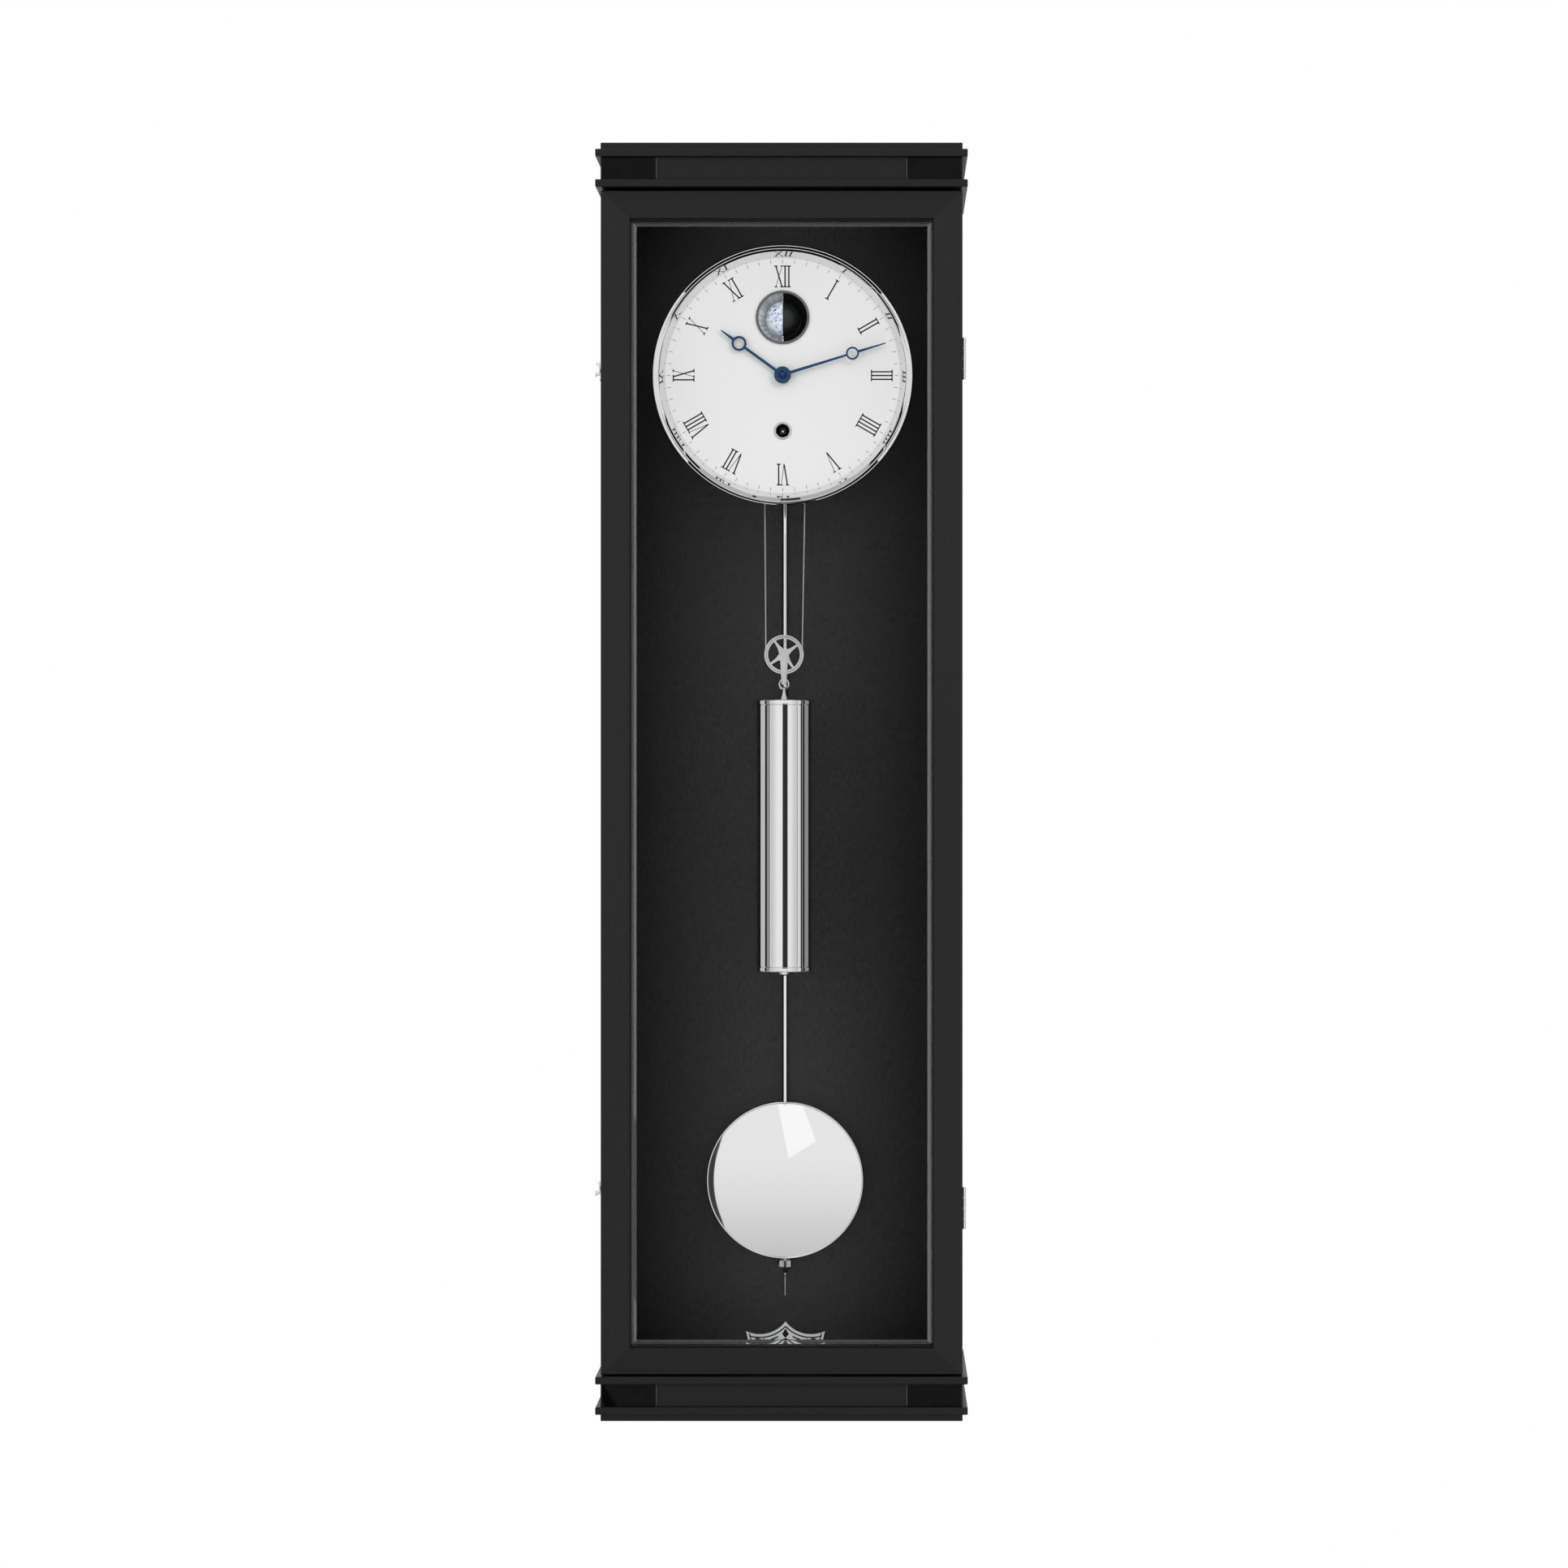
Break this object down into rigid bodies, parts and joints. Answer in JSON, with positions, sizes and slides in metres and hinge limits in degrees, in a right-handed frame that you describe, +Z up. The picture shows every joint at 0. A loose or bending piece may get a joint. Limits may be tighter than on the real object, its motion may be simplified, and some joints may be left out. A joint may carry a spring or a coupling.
{
  "type": "wall regulator clock",
  "caption": "Black wall-hung pendulum clock with a glazed hinged door, hook latches, white dial with a moon ball, hanging weight on a pulley and a wheel train behind the dial.",
  "frame": {"origin": "centre of the hanger plate's keyhole on the wall plane, in the middle of the case", "axes": "+Z up, +Y into the wall, so the glazed front faces -Y, +X to the viewer's right"},
  "size_m": [0.2949, 0.156, 1.01],
  "materials": {
    "black_lacquer": "satin",
    "gloss_inlay": "gloss",
    "chrome": "polished",
    "steel": "brushed",
    "brass": "polished",
    "blued_steel": "polished",
    "dial_white": "matt",
    "glass": "clear",
    "iron": "raw",
    "moon_enamel": "satin"
  },
  "bodies": {
    "case": {"back_panel": "black_lacquer", "side_panels": "black_lacquer", "end_caps": "black_lacquer", "base_ledges": "black_lacquer", "base_frieze": "black_lacquer", "cornice_ledges": "black_lacquer", "cornice_frieze": "black_lacquer", "frieze_inlays": "gloss_inlay", "hanger_plate": "steel", "case_screws": "steel", "hinge_case_leaves": "chrome", "hinge_pins": "chrome", "latch_plates": "chrome", "beat_scale": "steel", "movement_bracket": "steel", "back_plate": "brass", "front_plate": "brass", "movement_pillars": "brass", "dial_plate": "dial_white", "dial_feet": "steel", "bezel": "chrome", "moon_cup": "chrome", "winding_grommet": "chrome", "suspension_post": "steel", "cable": "steel", "cable_post": "steel"},
    "door": {"door_stiles": "black_lacquer", "door_rails": "black_lacquer", "door_glass": "glass", "glazing_beads": "black_lacquer", "hinge_door_leaves": "chrome", "latch_studs": "chrome"},
    "upper_hook": {"upper_hook": "chrome"},
    "lower_hook": {"lower_hook": "chrome"},
    "pendulum": {"pendulum_rod": "chrome", "suspension_spring": "steel"},
    "bob": {"bob_shells": "chrome"},
    "rating_nut": {"rating_nut": "chrome", "pointer_tip": "chrome"},
    "anchor": {"pallet_arbor": "brass"},
    "weight": {"weight_shell": "chrome", "weight_caps": "chrome", "weight_core": "iron", "weight_hook": "chrome", "pulley_stirrup": "chrome"},
    "pulley": {"pulley": "chrome"},
    "drum": {"drum": "brass"},
    "great_wheel": {"great_wheel": "brass"},
    "click": {"click": "steel"},
    "intermediate": {"intermediate_arbor": "brass"},
    "centre": {"centre_arbor": "brass"},
    "third": {"third_arbor": "brass"},
    "escape": {"escape_arbor": "brass"},
    "minute_hand": {"cannon_pinion": "brass", "minute_hand": "blued_steel", "hand_nut": "blued_steel"},
    "minute_wheel": {"minute_wheel": "brass"},
    "hour_hand": {"hour_wheel": "brass", "hour_hand": "blued_steel"},
    "moon": {"moon_ball": "moon_enamel"}
  },
  "joints": [
    {"name": "door_hinge", "type": "hinge", "parent": "case", "child": "door", "pos_m": [0.14465, -0.129, -0.435], "axis": [0, 0, 1], "range_deg": [0, 110]},
    {"name": "upper_hook_pivot", "type": "hinge", "parent": "case", "child": "upper_hook", "pos_m": [-0.1448, -0.108, -0.112], "axis": [-1, 0, 0], "range_deg": [-8, 70]},
    {"name": "lower_hook_pivot", "type": "hinge", "parent": "case", "child": "lower_hook", "pos_m": [-0.1448, -0.108, -0.761], "axis": [-1, 0, 0], "range_deg": [-8, 70]},
    {"name": "pendulum_swing", "type": "hinge", "parent": "case", "child": "pendulum", "pos_m": [0, -0.026, -0.06649], "axis": [0, 1, 0], "range_deg": [-3, 3], "deforming": ["suspension_spring"]},
    {"name": "anchor_rock", "type": "hinge", "parent": "case", "child": "anchor", "pos_m": [0, -0.06, -0.06649], "axis": [0, 1, 0], "range_deg": [-3, 3]},
    {"name": "bob_slide", "type": "slide", "parent": "pendulum", "child": "bob", "axis": [0, 0, 1], "range_m": [-0.0035, 0.0035]},
    {"name": "rating_nut_turn", "type": "hinge", "parent": "bob", "child": "rating_nut", "pos_m": [0, -0.026, -0.8308], "axis": [0, 0, 1], "range_deg": [-1810, 1810]},
    {"name": "weight_slide", "type": "slide", "parent": "case", "child": "weight", "axis": [0, 0, 1], "range_m": [-0.285, 0.085], "deforming": ["cable"]},
    {"name": "pulley_turn", "type": "hinge", "parent": "weight", "child": "pulley", "pos_m": [0, -0.065, -0.3317], "axis": [0, 1, 0], "range_deg": [-1113, 334]},
    {"name": "drum_turn", "type": "hinge", "parent": "case", "child": "drum", "pos_m": [0, -0.065, -0.1544], "axis": [0, 1, 0], "range_deg": [-2045, 612]},
    {"name": "third_turn", "type": "hinge", "parent": "case", "child": "third", "pos_m": [-0.01808, -0.06, -0.09838], "axis": [0, 1, 0], "continuous": true},
    {"name": "centre_turn", "type": "hinge", "parent": "case", "child": "centre", "pos_m": [0, -0.06, -0.1102], "axis": [0, 1, 0], "continuous": true},
    {"name": "escape_turn", "type": "hinge", "parent": "case", "child": "escape", "pos_m": [0, -0.06, -0.0877], "axis": [0, 1, 0], "continuous": true},
    {"name": "intermediate_turn", "type": "hinge", "parent": "case", "child": "intermediate", "pos_m": [0.01848, -0.06, -0.12551], "axis": [0, 1, 0], "continuous": true},
    {"name": "great_turn", "type": "hinge", "parent": "case", "child": "great_wheel", "pos_m": [0, -0.052, -0.1544], "axis": [0, 1, 0], "continuous": true},
    {"name": "click_pivot", "type": "hinge", "parent": "great_wheel", "child": "click", "pos_m": [0.01, -0.055, -0.13708], "axis": [0, -1, 0], "range_deg": [0, 12], "stiffness_Nm_per_rad": 0.002, "springref_deg": -5.73},
    {"name": "minute_hand_turn", "type": "hinge", "parent": "case", "child": "minute_hand", "pos_m": [0, -0.1, -0.1102], "axis": [0, 1, 0], "continuous": true},
    {"name": "minute_wheel_turn", "type": "hinge", "parent": "case", "child": "minute_wheel", "pos_m": [-0.01732, -0.088, -0.1202], "axis": [0, 1, 0], "continuous": true},
    {"name": "hour_hand_turn", "type": "hinge", "parent": "case", "child": "hour_hand", "pos_m": [0, -0.1, -0.1102], "axis": [0, 1, 0], "continuous": true},
    {"name": "moon_turn", "type": "hinge", "parent": "case", "child": "moon", "pos_m": [0, -0.101, -0.0637], "axis": [0, 0, 1], "continuous": true}
  ],
  "couplings": [
    {"joint": "anchor_rock", "follows": "pendulum_swing", "ratio": 1},
    {"joint": "rating_nut_turn", "follows": "bob_slide", "rad_per_m": 8976},
    {"joint": "drum_turn", "follows": "weight_slide", "rad_per_m": 125},
    {"joint": "pulley_turn", "follows": "weight_slide", "rad_per_m": 68.027},
    {"joint": "centre_turn", "follows": "third_turn", "ratio": -0.125},
    {"joint": "escape_turn", "follows": "third_turn", "ratio": -9},
    {"joint": "intermediate_turn", "follows": "third_turn", "ratio": 0.03125},
    {"joint": "great_turn", "follows": "third_turn", "ratio": -0.0052083},
    {"joint": "minute_wheel_turn", "follows": "minute_hand_turn", "ratio": -0.33333},
    {"joint": "hour_hand_turn", "follows": "minute_hand_turn", "ratio": 0.083333}
  ]
}
